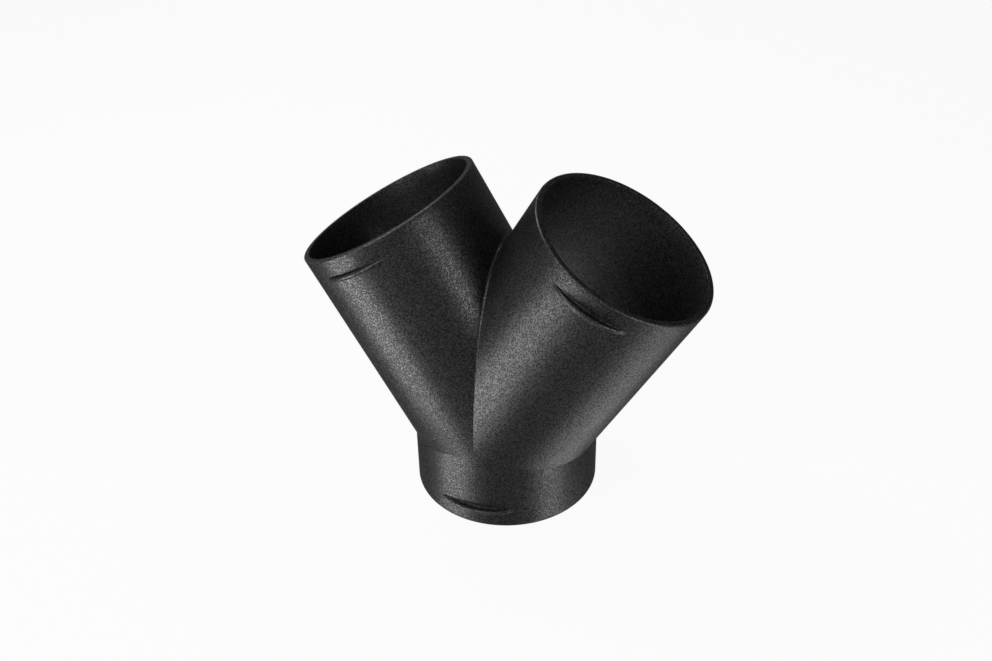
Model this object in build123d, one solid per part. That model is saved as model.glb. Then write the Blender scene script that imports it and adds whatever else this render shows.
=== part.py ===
from build123d import *
import os
from collections import namedtuple
from math import cos, radians, sin

# A one-piece moulded wye for round ducts. A short upright collar carries two
# branches of the same diameter, which lean apart by the same angle. The origin
# is the middle of the collar's foot, +Z is up, and the three axes lie in XZ.

# Driving dimensions, in millimetres and degrees
outerDiameter = 75.0      # outside diameter, the same on all three tubes
wall = 2.4                # wall thickness everywhere
branchLean = 30.0         # angle between a branch's axis and the upright
crossingHeight = 34.0     # height above the foot where the three axes meet
branchLength = 95.0       # along a branch's axis, from the crossing to its mouth
mouthRounding = 0.7       # outer edge of each branch's mouth
footRounding = 0.35       # outer edge of the collar's foot
boreRounding = 0.2        # inner edge of every mouth
creaseRounding = 1.2      # blend in the outer crease between the two branches
ribInset = 6.9            # from a mouth's plane to the near side of its ribs
ribWidth = 2.0            # along the tube
ribHeight = 2.6           # above the tube, at the middle of the rib
ribSpan = 47.0            # angle around the tube from one end to the other
ribRounding = 0.9         # long edges of a rib

outerRadius = outerDiameter / 2
boreRadius = outerRadius - wall
mitre = (180 + branchLean) / 2         # halfway between a branch and the collar
reach = 2 * (branchLength + crossingHeight + outerDiameter)
tolerance = 0.01                       # for picking out edges

# Each arm has the direction of its axis, as an angle from the upright, the two
# mitres that end it at the crossing, and its length from there to its mouth
Arm = namedtuple("Arm", "direction, firstMitre, lastMitre, length, rounding")
rightBranch = Arm(branchLean, 0, mitre, branchLength, mouthRounding)
leftBranch = Arm(-branchLean, -mitre, 0, branchLength, mouthRounding)
collar = Arm(180, mitre, 360 - mitre, crossingHeight, footRounding)
arms = [rightBranch, leftBranch, collar]


def along(arm, distance):
    # A frame on the arm's axis, with its Z axis pointing out of the mouth
    return Pos(0, 0, crossingHeight) * Rot(0, arm.direction, 0) * Pos(0, 0, distance)


def sector(arm):
    # The wedge of space between the arm's two mitres
    angles = [arm.firstMitre, (arm.firstMitre + arm.lastMitre) / 2, arm.lastMitre]
    corners = [(reach * sin(radians(turn)), reach * cos(radians(turn))) for turn in angles]
    outline = Plane.XZ * Polygon((0, 0), *corners, align=None)
    return Pos(0, 0, crossingHeight) * extrude(outline, outerDiameter, both=True)


def rod(arm, radius, overrun):
    # A round rod on the arm's axis, from behind the crossing to past the mouth
    tail = 2 * radius
    length = tail + arm.length + overrun
    solid = Cylinder(radius, length, align=(Align.CENTER, Align.CENTER, Align.MIN))
    return along(arm, -tail) * solid


def mouthEdge(solid, arm, radius):
    # The circle of the given radius in the plane of the arm's mouth
    mouth = along(arm, arm.length).position
    circles = solid.edges().filter_by(GeomType.CIRCLE)
    return [edge for edge in circles
            if abs(edge.radius - radius) < tolerance
            and (edge.arc_center - mouth).length < tolerance]


def outerArm(arm):
    # The outside of one tube, with the edge of its mouth rounded
    solid = rod(arm, outerRadius, 0)
    return fillet(mouthEdge(solid, arm, outerRadius), arm.rounding) & sector(arm)


def boreArm(arm):
    # The inside of one tube, run on past its mouth
    return rod(arm, boreRadius, wall) & sector(arm)


def outside():
    # The three tubes as one solid body. The crease between the branches is two
    # arcs in the plane x = 0, and its blend runs out where the tubes are tangent.
    body = outerArm(rightBranch) + outerArm(leftBranch) + outerArm(collar)
    crease = [edge for edge in body.edges().filter_by(GeomType.ELLIPSE)
              if abs(edge.center().X) < tolerance]
    return fillet(crease, creaseRounding)


def rib(arm, side):
    # A narrow rib across one flank of a tube near its mouth. It is the rim of a
    # disc smaller than the tube, so that its ends run out into the wall.
    rise = ribHeight * (ribHeight + 2 * outerRadius)
    sagitta = outerRadius * (1 - cos(radians(ribSpan / 2)))
    offset = rise / (2 * (sagitta + ribHeight))
    disc = Cylinder(outerRadius + ribHeight - offset, ribWidth)
    disc = fillet(disc.edges().filter_by(GeomType.CIRCLE), ribRounding)
    middle = arm.length - ribInset - ribWidth / 2
    return along(arm, middle) * Pos(0, side * offset, 0) * disc


def wye():
    body = outside()
    for arm in arms:
        body = body + rib(arm, 1) + rib(arm, -1)
    body = body - (boreArm(rightBranch) + boreArm(leftBranch) + boreArm(collar))
    edges = [edge for arm in arms for edge in mouthEdge(body, arm, boreRadius)]
    return fillet(edges, boreRounding)


os.makedirs("parts", exist_ok=True)
export_step(wye(), "parts/wye_body.step")
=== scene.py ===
import math
from collections import namedtuple
import bpy
from mathutils import Matrix, Vector


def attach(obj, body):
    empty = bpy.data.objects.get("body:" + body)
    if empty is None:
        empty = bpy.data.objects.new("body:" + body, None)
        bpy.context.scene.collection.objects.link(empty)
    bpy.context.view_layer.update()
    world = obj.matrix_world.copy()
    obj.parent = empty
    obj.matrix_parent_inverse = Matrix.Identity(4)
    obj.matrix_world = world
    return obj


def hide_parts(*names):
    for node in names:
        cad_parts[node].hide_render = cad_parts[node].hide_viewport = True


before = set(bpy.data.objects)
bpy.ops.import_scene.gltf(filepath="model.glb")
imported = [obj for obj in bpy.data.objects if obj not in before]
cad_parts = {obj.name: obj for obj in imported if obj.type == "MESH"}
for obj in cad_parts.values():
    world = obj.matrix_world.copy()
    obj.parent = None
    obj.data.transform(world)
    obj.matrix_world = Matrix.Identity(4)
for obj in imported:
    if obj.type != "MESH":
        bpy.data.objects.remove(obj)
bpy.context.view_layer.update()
scene = bpy.context.scene
print("frame loaded")


class Wire:
    # One output of a node, so that maths on it is written as a plain expression

    def __init__(self, maker, socket):
        self.maker = maker
        self.socket = socket

    def calc(self, operation, *others):
        return self.maker.maths(operation, self, *others)

    def __add__(self, other):
        return self.calc("ADD", other)

    def __sub__(self, other):
        return self.calc("SUBTRACT", other)

    def __rsub__(self, other):
        return self.maker.maths("SUBTRACT", other, self)

    def __mul__(self, other):
        return self.calc("MULTIPLY", other)

    def __truediv__(self, other):
        return self.calc("DIVIDE", other)

    def sin(self):
        return self.calc("SINE")

    def cos(self):
        return self.calc("COSINE")

    def root(self):
        return self.calc("SQRT")

    def positive(self):
        return self.calc("ABSOLUTE")

    def atLeast(self, other):
        return self.calc("MAXIMUM", other)

    def atMost(self, other):
        return self.calc("MINIMUM", other)

    __radd__ = __add__
    __rmul__ = __mul__


class Maker:
    # Adds nodes to a tree: settings first, then the values or links of sockets

    def __init__(self, tree):
        self.tree = tree

    def node(self, kind, settings=None, sockets=None, output=0):
        made = self.tree.nodes.new(kind)
        for name, value in (settings or {}).items():
            setattr(made, name, value)
        pairs = sockets.items() if isinstance(sockets, dict) else enumerate(sockets or [])
        for name, value in pairs:
            if isinstance(value, Wire):
                self.tree.links.new(value.socket, made.inputs[name])
            else:
                made.inputs[name].default_value = value
        return Wire(self, made.outputs[output])

    def maths(self, operation, *values):
        return self.node("ShaderNodeMath", {"operation": operation}, values)

    def vectors(self, operation, *values, output=0):
        return self.node("ShaderNodeVectorMath", {"operation": operation}, values, output)

    def smoothStep(self, value, low, high):
        return self.node("ShaderNodeMapRange", {"interpolation_type": "SMOOTHSTEP"}, {
            "Value": value, "From Min": low, "From Max": high})

    def blend(self, share, first, second):
        # The sockets of a colour mix are its factor and its two colours
        return self.node("ShaderNodeMix", {"data_type": "RGBA"}, {0: share, 6: first, 7: second}, output=2)


# The wye: each tube is a grid, bent round its axis and cut at its two mitres

wyeBody = {
    "Outer Radius": 0.0375,
    "Wall": 0.0024,
    "Branch Lean": math.radians(30),
    "Crossing Height": 0.034,           # where the three axes meet
    "Branch Length": 0.095,             # from there to a branch's mouth
    "Mouth Rounding": 0.0007,
    "Foot Rounding": 0.00035,
    "Bore Rounding": 0.0002,
    "Crease Blend": 0.0012,             # between the two branches
    "Collar Blend": 0.0004,             # between a branch and the collar
    "Rib Inset": 0.0069,                # from the mouth to the rib's near side
    "Rib Width": 0.0020,
    "Rib Height": 0.0026,
    "Rib Half Span": math.radians(23.5),
    "Rib Rounding": 0.0009,
    "Rib Foot": 0.0003,                 # the small fillet that a rib stands on
}

# Rows of the grid in each band, from the mitre out to the mouth and back inside
wyeRows = {
    "blend": 5, "wall": 10, "guard": 1, "ribStart": 3, "rib": 20, "ribEnd": 3, "guardEnd": 1,
    "land": 4, "rounding": 6, "rim": 3, "edge": 3, "bore": 12,
}
wyeColumns = 360
quarter = math.pi / 2
mergeWithin = 0.000008
softBelow = math.radians(35)            # edges that bend more than this stay sharp

Arm = namedtuple("Arm", "direction, plusHalf, minusHalf, length, rounding, plusBlend, minusBlend")


def gridShares(maker):
    # The grid's X is the angle around a tube and its Y is the row. Each band of
    # rows has a share that runs from 0 to 1 over its own rows.
    place = maker.node("GeometryNodeInputPosition")
    around = maker.node("ShaderNodeSeparateXYZ", sockets=[place])
    turn = (around + 0.5) * math.tau
    along = maker.node("ShaderNodeSeparateXYZ", sockets=[place], output=1)
    row = (along + 0.5) * sum(wyeRows.values())
    shares = {}
    start = 0
    for name, count in wyeRows.items():
        divide = {"operation": "DIVIDE", "use_clamp": True}
        shares[name] = maker.node("ShaderNodeMath", divide, [row - start, count])
        start += count
    return turn, shares


def creaseSurface(size, arm, share, cosTurn, sinTurn):
    # Where a tube starts: on the blend that a ball sweeps as it rolls in the
    # crease. u and y lie across the arm's axis, and v lies along it.
    plus = cosTurn.calc("GREATER_THAN", 0.0)
    halfAngle = plus * arm.plusHalf + (1 - plus) * arm.minusHalf
    blend = plus * arm.plusBlend + (1 - plus) * arm.minusBlend
    sinHalf, cosHalf = halfAngle.sin(), halfAngle.cos()
    lift = cosTurn.positive()
    slope = lift * cosHalf / sinHalf
    ballRadius = size["Outer Radius"] + blend
    inPlane = (1 - lift * lift * cosHalf * cosHalf).root()
    rest = 1 - share
    towardU = rest * cosTurn * sinHalf * sinHalf / inPlane + share * cosTurn
    towardY = rest * sinTurn / inPlane + share * sinTurn
    towardV = rest * lift * sinHalf * cosHalf / inPlane
    step = blend / (towardU * towardU + towardY * towardY + towardV * towardV).root()
    start = ballRadius * slope
    u = ballRadius * cosTurn - step * towardU
    y = ballRadius * sinTurn - step * towardY
    v = start - step * towardV
    return u, y, v, start, slope


def ribHeight(size, cosTurn, sinTurn, drop):
    # A rib is the rim of a smaller disc, set off toward the flank of the tube, so
    # that its height runs out into the wall at both ends
    radius, height = size["Outer Radius"], size["Rib Height"]
    sagitta = radius * (1 - size["Rib Half Span"].cos())
    offset = height * (height + 2 * radius) / (2 * (sagitta + height))
    discRadius = radius + height - offset - drop
    aside = offset * cosTurn
    outer = (discRadius * discRadius - aside * aside).atLeast(0.0).root()
    return (offset * sinTurn.positive() + outer - radius).atLeast(0.0)


def ribSteps(size, shares, cosTurn, sinTurn):
    # Over the rows of a rib: how far they go along the tube and stand off it. A
    # tenth of them climbs each side, and the rest goes round the crest.
    half, skirt, rounding = size["Rib Width"] / 2, size["Rib Foot"], size["Rib Rounding"]
    swing = (shares["rib"] * 1.25 - 0.125).atLeast(0.0).atMost(1.0) * math.pi
    past = ((half * swing.cos()).positive() - half + rounding).atLeast(0.0)
    drop = rounding - (rounding * rounding - past * past).atLeast(0.0).root()
    top = ribHeight(size, cosTurn, sinTurn, drop)
    foot = skirt.atMost(ribHeight(size, cosTurn, sinTurn, rounding) / 2)
    climbed = (shares["rib"] * 10).atMost((1 - shares["rib"]) * 10).atMost(1.0)
    outward = foot * (1 - (shares["ribStart"] * quarter).cos())
    outward = outward + (top - foot).atLeast(0.0) * climbed
    outward = outward - foot * (shares["ribEnd"] * quarter).sin()
    along = skirt * (shares["ribStart"] * quarter).sin()
    along = along + half * (1 - swing.cos())
    along = along + skirt * (1 - (shares["ribEnd"] * quarter).cos())
    return along, outward


def armSurface(maker, size, turn, shares, arm):
    cosTurn, sinTurn = turn.cos(), turn.sin()
    u, y, v, start, slope = creaseSurface(size, arm, shares["blend"], cosTurn, sinTurn)

    # out along the wall, over the rib and on to the mouth
    half, skirt = size["Rib Width"] / 2, size["Rib Foot"]
    middle = arm.length - size["Rib Inset"] - half
    margin = half + 2 * skirt
    along, outward = ribSteps(size, shares, cosTurn, sinTurn)
    v = v + shares["wall"] * (middle - margin - start)
    v = v + shares["guard"] * skirt + along + shares["guardEnd"] * skirt
    v = v + shares["land"] * (arm.length - arm.rounding - middle - margin)

    # round the mouth, across its rim and back along the bore
    edge = size["Bore Rounding"]
    boreRadius = size["Outer Radius"] - size["Wall"]
    v = v + arm.rounding * (shares["rounding"] * quarter).sin()
    v = v - edge * (1 - (shares["edge"] * quarter).cos())
    v = v - shares["bore"] * (arm.length - edge - boreRadius * slope)
    outward = outward - arm.rounding * (1 - (shares["rounding"] * quarter).cos())
    outward = outward - shares["rim"] * (size["Wall"] - arm.rounding - edge)
    outward = outward - edge * (shares["edge"] * quarter).sin()
    u = u + outward * cosTurn
    y = y + outward * sinTurn

    # from the arm's own axes to the object's
    sinAxis, cosAxis = arm.direction.sin(), arm.direction.cos()
    x = v * sinAxis + u * cosAxis
    z = size["Crossing Height"] + v * cosAxis - u * sinAxis
    return maker.node("ShaderNodeCombineXYZ", sockets=[x, y, z])


def wyeTree():
    tree = bpy.data.node_groups.new("wye tree", "GeometryNodeTree")
    tree.interface.new_socket("Geometry", in_out="OUTPUT", socket_type="NodeSocketGeometry")
    tree.interface.new_socket("Geometry", in_out="INPUT", socket_type="NodeSocketGeometry")
    for name in wyeBody:
        tree.interface.new_socket(name, in_out="INPUT", socket_type="NodeSocketFloat")
    tree.interface.new_socket("Finish", in_out="INPUT", socket_type="NodeSocketMaterial")
    maker = Maker(tree)
    given = tree.nodes.new("NodeGroupInput")
    size = {name: Wire(maker, given.outputs[name]) for name in wyeBody}
    turn, shares = gridShares(maker)
    lean = size["Branch Lean"]
    collarHalf = (math.pi - lean) / 2       # half the angle between a branch and the collar
    downward = lean * 0 + math.pi
    crease, collarBlend = size["Crease Blend"], size["Collar Blend"]
    branch, mouth = size["Branch Length"], size["Mouth Rounding"]
    foot = size["Foot Rounding"]
    arms = [
        Arm(lean, collarHalf, lean, branch, mouth, collarBlend, crease),
        Arm(0 - lean, lean, collarHalf, branch, mouth, crease, collarBlend),
        Arm(downward, collarHalf, collarHalf, size["Crossing Height"], foot, collarBlend, collarBlend),
    ]
    join = tree.nodes.new("GeometryNodeJoinGeometry")
    for arm in arms:
        grid = maker.node("GeometryNodeMeshGrid", sockets={
            "Size X": 1.0, "Size Y": 1.0, "Vertices X": wyeColumns + 1,
            "Vertices Y": sum(wyeRows.values()) + 1})
        placed = maker.node("GeometryNodeSetPosition", sockets={
            "Geometry": grid, "Position": armSurface(maker, size, turn, shares, arm)})
        tree.links.new(placed.socket, join.inputs[0])
    merged = maker.node("GeometryNodeMergeByDistance", sockets={
        "Geometry": Wire(maker, join.outputs[0]), "Distance": mergeWithin})
    smooth = maker.node("GeometryNodeSetShadeSmooth", {"domain": "FACE"}, {
        "Geometry": merged, "Shade Smooth": True})
    soft = maker.node("GeometryNodeInputMeshEdgeAngle").calc("LESS_THAN", softBelow)
    edges = maker.node("GeometryNodeSetShadeSmooth", {"domain": "EDGE"}, {
        "Geometry": smooth, "Shade Smooth": soft})
    real = maker.node("GeometryNodeRealizeInstances", sockets=[edges])
    finished = maker.node("GeometryNodeSetMaterial", sockets={
        "Geometry": real, "Material": Wire(maker, given.outputs["Finish"])})
    out = tree.nodes.new("NodeGroupOutput")
    tree.links.new(finished.socket, out.inputs[0])
    return tree


def buildWye(finish):
    tree = wyeTree()
    blank = bpy.data.objects.new("wye blank", bpy.data.meshes.new("wye blank"))
    scene.collection.objects.link(blank)
    modifier = blank.modifiers.new("wye", "NODES")
    modifier.node_group = tree
    for item in tree.interface.items_tree:
        if item.in_out == "INPUT" and item.name in wyeBody:
            modifier[item.identifier] = wyeBody[item.name]
        if item.name == "Finish":
            modifier[item.identifier] = finish
    bpy.context.view_layer.update()
    evaluated = blank.evaluated_get(bpy.context.evaluated_depsgraph_get())
    mesh = bpy.data.meshes.new_from_object(evaluated)
    mesh.name = "wye_shell"
    blank.modifiers.remove(modifier)
    bpy.data.objects.remove(blank)
    piece = bpy.data.objects.new("wye_shell", mesh)
    scene.collection.objects.link(piece)
    print("wye built:", len(mesh.vertices), "vertices,", len(mesh.polygons), "faces")
    return piece


def cleanMaterial(name):
    # A material with an empty tree, and the maker that fills it
    material = bpy.data.materials.new(name)
    material.use_nodes = True
    material.node_tree.nodes.clear()
    return material, Maker(material.node_tree)


def showShader(maker, shader):
    output = maker.tree.nodes.new("ShaderNodeOutputMaterial")
    maker.tree.links.new(shader.socket, output.inputs[0])


blackPlastic = {
    "grains": 1500.0,                   # noise scales, for each metre
    "fines": 3000.0,
    "mottle": 70.0,
    "grainDepth": 0.00006,
    "low": 0.46,                        # noise that ends a pit, and that starts a grain's top
    "high": 0.60,
    "deep": (0.002, 0.002, 0.0022, 1.0),
    "pale": (0.013, 0.013, 0.0135, 1.0),
    # lighter colour for the mouths and rib crests: rubbing and a painted highlight
    "rubbedAndHighlit": (0.05, 0.05, 0.051, 1.0),
    "roughness": 0.36,
    "specular": 0.35,
    "glossRoughness": 0.36,             # of the grains' polished tops
    "glossIndex": 1.6,
    "ribZone": 0.014,                   # how far back from a mouth its ribs lie
}


def rubAndHighlightEdges(maker, place):
    # Lighter colour on the rounded mouths and the crests of the ribs: partly rubbing, partly a painted
    # highlight
    radius, lean = wyeBody["Outer Radius"], wyeBody["Branch Lean"]
    branch, crossing = wyeBody["Branch Length"], wyeBody["Crossing Height"]
    offset = maker.vectors("SUBTRACT", place, (0.0, 0.0, crossing))
    axes = [(math.sin(lean), math.cos(lean), branch), (-math.sin(lean), math.cos(lean), branch),
            (0.0, -1.0, crossing)]
    wornAndHighlit = 0.0
    for x, z, length in axes:
        along = maker.vectors("DOT_PRODUCT", offset, (x, 0.0, z), output=1)
        away = maker.vectors("LENGTH", maker.vectors("CROSS_PRODUCT", offset, (x, 0.0, z)), output=1)
        lip = maker.smoothStep(along, length - 0.0008, length - 0.0002)
        lip = lip * maker.smoothStep(away, radius - 0.0008, radius - 0.0003)
        crest = maker.smoothStep(away, radius + 0.0012, radius + 0.0026)
        nearMouth = along.calc("GREATER_THAN", length - blackPlastic["ribZone"])
        wornAndHighlit = lip.atLeast(crest * nearMouth * 0.7).atLeast(wornAndHighlit)
    return wornAndHighlit


def plasticFinish():
    # A spark-eroded mould leaves hard grains, and their tops glint one by one
    look = blackPlastic
    material, maker = cleanMaterial("black_plastic_grained")
    place = maker.node("ShaderNodeTexCoord", output="Object")
    grains = maker.node("ShaderNodeTexNoise", sockets={
        "Vector": place, "Scale": look["grains"], "Detail": 1.0, "Roughness": 0.6})
    fines = maker.node("ShaderNodeTexNoise", sockets={
        "Vector": place, "Scale": look["fines"], "Detail": 0.0})
    mottle = maker.node("ShaderNodeTexNoise", sockets={
        "Vector": place, "Scale": look["mottle"], "Detail": 4.0, "Roughness": 0.6})
    grain = maker.smoothStep(grains * 0.65 + fines * 0.35, look["low"], look["high"])
    bump = maker.node("ShaderNodeBump", sockets={
        "Height": grain, "Distance": look["grainDepth"], "Strength": 1.0})
    # mask of painted highlight and rubbing on the mouth lips and rib crests, blended in as a lighter
    # colour
    wornAndHighlit = rubAndHighlightEdges(maker, place) * (0.3 + 0.7 * grain)
    toned = maker.blend(grain, look["deep"], look["pale"])
    colour = maker.blend(wornAndHighlit, toned, look["rubbedAndHighlit"])
    roughness = look["roughness"] + (mottle - 0.5) * 0.10 - (grain - 0.5) * 0.08
    shader = maker.node("ShaderNodeBsdfPrincipled", sockets={
        "Base Color": colour, "Roughness": roughness, "Normal": bump,
        "Specular IOR Level": look["specular"], "Coat Weight": grain,
        "Coat IOR": look["glossIndex"], "Coat Roughness": look["glossRoughness"]})
    showShader(maker, shader)
    return material


wye = buildWye(plasticFinish())
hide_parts("wye_body")
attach(wye, "root")


studio = {
    "floorSize": 6.0,
    "floorColour": (0.8, 0.8, 0.8, 1.0),
    "whiteShare": 0.94,                 # how much of the floor is plain white to the camera
    "dimRoom": 0.09,                    # how bright the room is to gloss
    "aim": (0.0, 0.0, 0.065),           # where the softboxes point
}


def whiteSeen(maker, share):
    # The camera and clear materials see white, and gloss sees only a dim room
    direct = maker.node("ShaderNodeLightPath", output="Is Camera Ray")
    glossy = maker.node("ShaderNodeLightPath", output="Is Glossy Ray")
    clear = maker.node("ShaderNodeLightPath", output="Is Transmission Ray")
    return (direct + clear + glossy * studio["dimRoom"]).atMost(1.0) * share


def buildFloor():
    half = studio["floorSize"] / 2
    mesh = bpy.data.meshes.new("floor")
    corners = [(-half, -half, 0), (half, -half, 0), (half, half, 0), (-half, half, 0)]
    mesh.from_pydata(corners, [], [(0, 1, 2, 3)])
    floor = bpy.data.objects.new("floor", mesh)
    scene.collection.objects.link(floor)
    material, maker = cleanMaterial("pale_floor")
    paint = maker.node("ShaderNodeBsdfDiffuse", sockets={"Color": studio["floorColour"]})
    white = maker.node("ShaderNodeEmission", sockets={"Color": (1, 1, 1, 1), "Strength": 1.0})
    showShader(maker, maker.node("ShaderNodeMixShader", sockets=[
        whiteSeen(maker, studio["whiteShare"]), paint, white]))
    mesh.materials.append(material)
    # a translucent table: the low softboxes shine up through it
    floor.visible_shadow = False
    floor.visible_glossy = False


buildFloor()

# Angles in degrees, as seen from the aim; glow is the brightness of a box's face
softboxes = {
    "left": {"azimuth": -45, "height": -27, "away": 0.6, "wide": 0.32, "tall": 0.40, "glow": 5.0},
    "right": {"azimuth": 72, "height": -34, "away": 0.6, "wide": 0.22, "tall": 0.26, "glow": 3.6},
    "high": {"azimuth": 63, "height": 8, "away": 0.6, "wide": 0.19, "tall": 0.22, "glow": 6.8},
    "under": {"azimuth": 108, "height": -68, "away": 0.6, "wide": 0.36, "tall": 0.34, "glow": 1.15},
    "front": {"azimuth": -20, "height": 30, "away": 0.6, "wide": 0.34, "tall": 0.44, "glow": 3.6},
    "behind": {"azimuth": -115, "height": 50, "away": 0.6, "wide": 0.30, "tall": 0.30, "glow": 5.0},
    # lies just under the open foot and lights the bores
    "foot": {"azimuth": 0, "height": -90, "away": 0.066, "wide": 0.048, "tall": 0.048, "glow": 4.5},
}


def awayFrom(view):
    # The direction toward a lamp or the camera: azimuth 0 is the front
    azimuth, height = math.radians(view["azimuth"]), math.radians(view["height"])
    level = math.cos(height)
    return Vector((math.sin(azimuth) * level, -math.cos(azimuth) * level, math.sin(height)))


def buildLights():
    for name, box in softboxes.items():
        lamp = bpy.data.lights.new(name + " softbox", "AREA")
        lamp.shape = "RECTANGLE"
        lamp.size, lamp.size_y = box["wide"], box["tall"]
        lamp.energy = box["glow"] * math.pi * box["wide"] * box["tall"]
        holder = bpy.data.objects.new(name + " softbox", lamp)
        scene.collection.objects.link(holder)
        away = awayFrom(box)
        holder.location = Vector(studio["aim"]) + away * box["away"]
        holder.rotation_euler = away.to_track_quat("Z", "Y").to_euler()
        holder.visible_camera = False


def buildWorld():
    world = bpy.data.worlds.new("studio")
    scene.world = world
    world.use_nodes = True
    maker = Maker(world.node_tree)
    white = whiteSeen(maker, 1.0)
    strength = white + (1 - white.calc("GREATER_THAN", 0.0)) * studio["dimRoom"]
    background = world.node_tree.nodes["Background"]
    background.inputs[0].default_value = (1, 1, 1, 1)
    world.node_tree.links.new(strength.socket, background.inputs[1])


buildLights()
buildWorld()

viewpoint = {
    "azimuth": 20.76, "height": 34.06, "roll": -1.25,
    "target": (-0.00382, 0.0, 0.06849), "distance": 0.4745,
    "lens": 43.47, "sensor": 36.0,      # both in millimetres
}


def buildCamera():
    back = awayFrom(viewpoint)
    azimuth, roll = math.radians(viewpoint["azimuth"]), math.radians(viewpoint["roll"])
    right = Vector((math.cos(azimuth), math.sin(azimuth), 0))
    tilted = right * math.cos(roll) + back.cross(right) * math.sin(roll)
    camera = bpy.data.cameras.new("camera")
    camera.lens, camera.sensor_width = viewpoint["lens"], viewpoint["sensor"]
    holder = bpy.data.objects.new("camera", camera)
    scene.collection.objects.link(holder)
    holder.rotation_euler = Matrix((tilted, back.cross(tilted), back)).transposed().to_euler()
    holder.location = Vector(viewpoint["target"]) + back * viewpoint["distance"]
    scene.camera = holder


buildCamera()
scene.view_settings.view_transform = "Standard"
print("studio ready")
